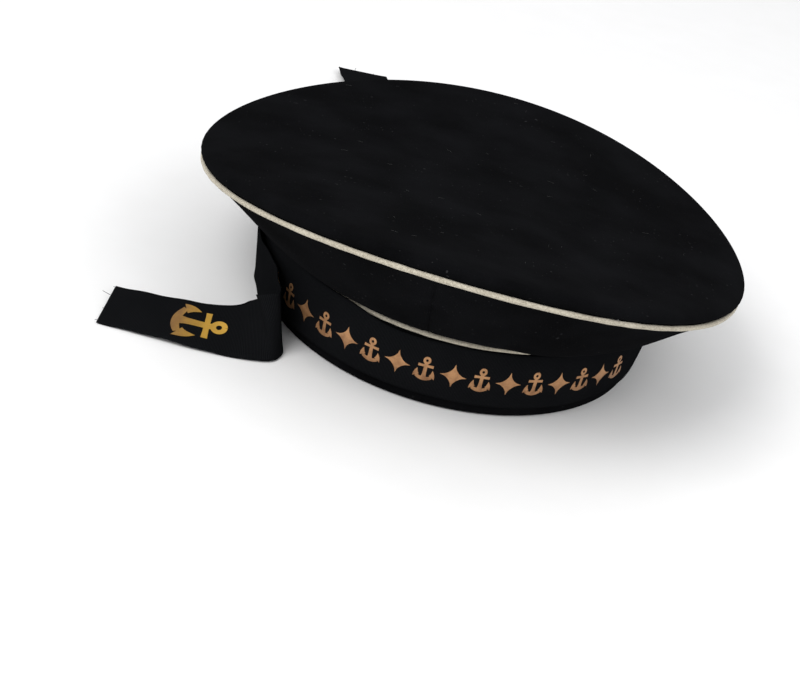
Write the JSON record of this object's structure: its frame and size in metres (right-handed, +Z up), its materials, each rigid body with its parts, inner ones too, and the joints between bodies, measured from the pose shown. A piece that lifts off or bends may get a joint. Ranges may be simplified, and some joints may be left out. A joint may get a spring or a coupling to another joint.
{
  "type": "sailor cap",
  "caption": "Peakless black wool sailor cap with a wide flat crown, cream piping and a ribbon round the band whose two tails lie loose.",
  "frame": {"origin": "on the floor under the middle of the crown, the two tails left out", "axes": "+Z up out of the crown, -Y toward the front of the cap, +X to the wearer's left"},
  "size_m": [0.2888, 0.4218, 0.098],
  "materials": {
    "wool": "matte",
    "piping": "matte",
    "ribbon": "satin"
  },
  "bodies": {
    "root": {"crown_top": "wool", "crown_piping": "piping", "quarter_front_left": "wool", "quarter_front_right": "wool", "quarter_back_left": "wool", "quarter_back_right": "wool", "band_piping": "piping", "band": "wool", "tally_ribbon": "ribbon", "ribbon_tail_left": "ribbon", "ribbon_tail_right": "ribbon"}
  },
  "joints": []
}
